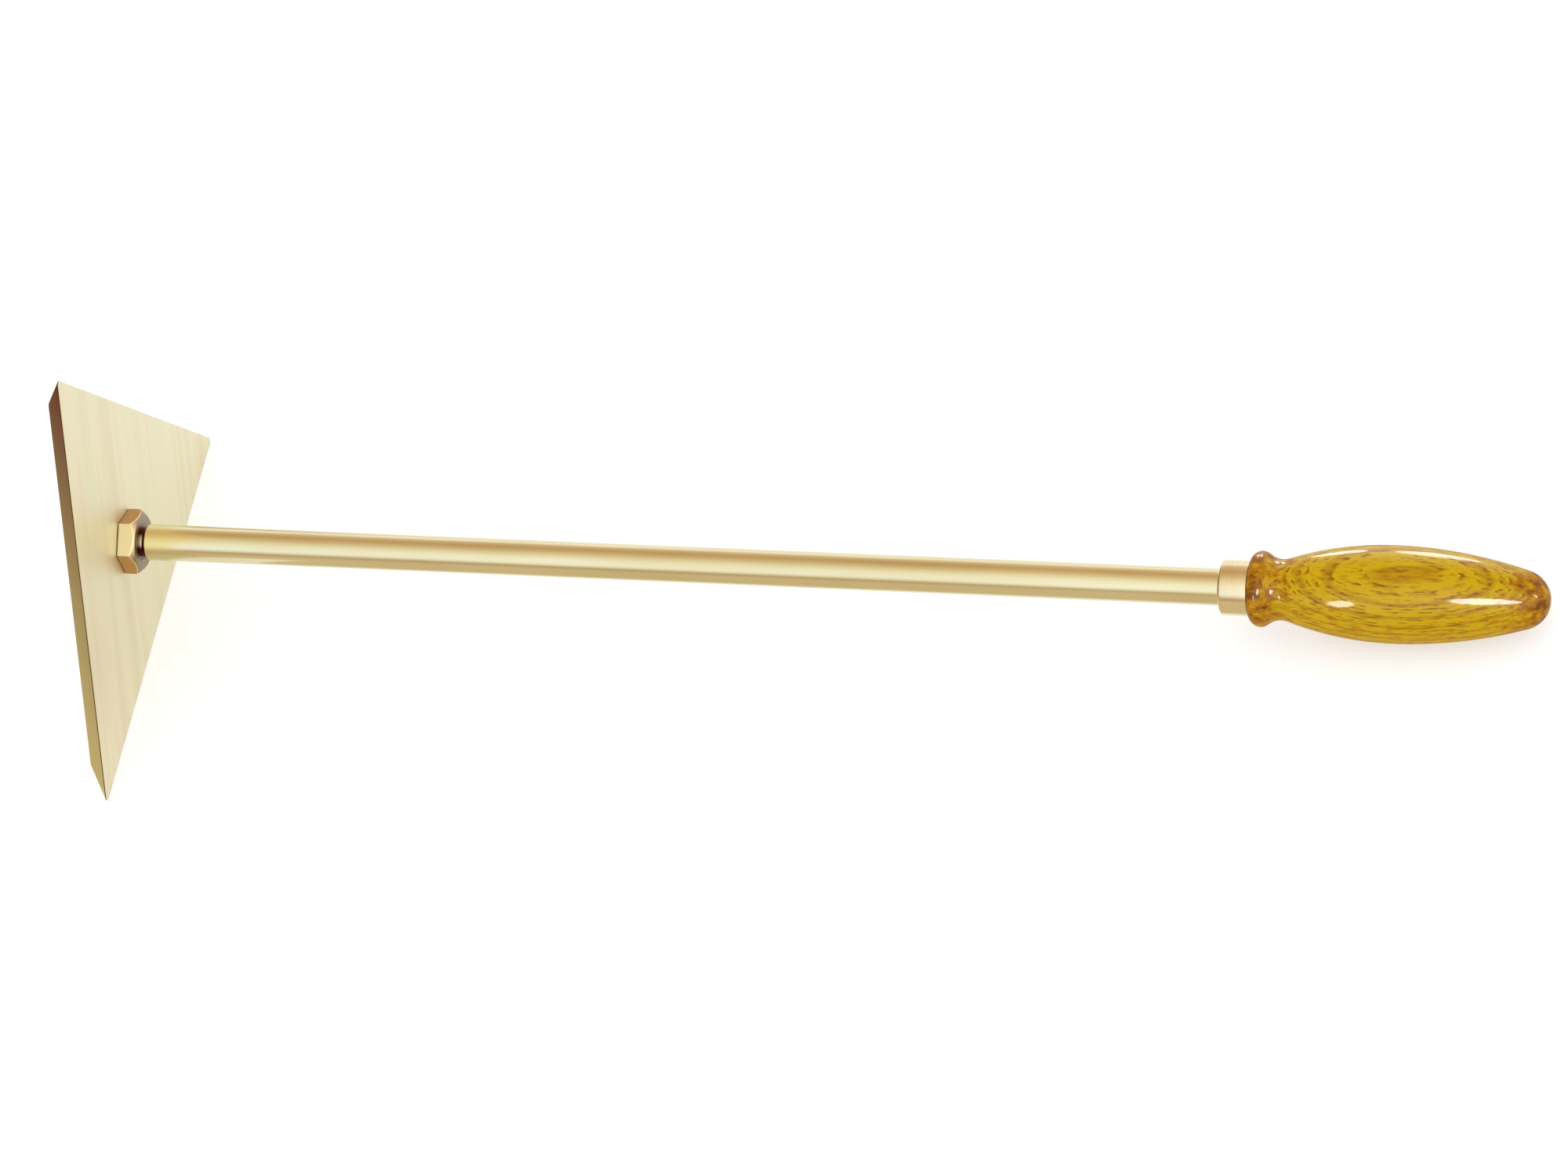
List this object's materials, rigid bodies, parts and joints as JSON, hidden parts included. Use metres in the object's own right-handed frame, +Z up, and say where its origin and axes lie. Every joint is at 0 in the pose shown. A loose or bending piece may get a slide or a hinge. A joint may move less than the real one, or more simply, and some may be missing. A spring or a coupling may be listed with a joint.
{
  "type": "draw hoe",
  "caption": "Hand draw hoe: a triangular bevelled plate screwed square on the end of a round rod and held by a thin hexagon nut, with a ferrule and a turned wooden handle.",
  "frame": {"origin": "on the rod's axis, in the plane of the blade's outer face", "axes": "+X along the rod from the blade to the handle's butt; +Z up, through the blade's top corner; +Y completes a right-handed frame, along the blade's bottom edge"},
  "size_m": [0.5665, 0.1758, 0.1527],
  "materials": {
    "blade_bronze": "satin, fine-ground",
    "nut_bronze": "machined, bright",
    "rod_bronze": "drawn and polished",
    "ferrule_brass": "turned and polished",
    "pin_brass": "filed flush",
    "handle_wood": "glossy yellow lacquer"
  },
  "bodies": {
    "root": {"blade": "blade_bronze", "lock_nut": "nut_bronze", "rod": "rod_bronze", "ferrule": "ferrule_brass", "handle": "handle_wood", "handle_pin": "pin_brass"}
  },
  "joints": []
}
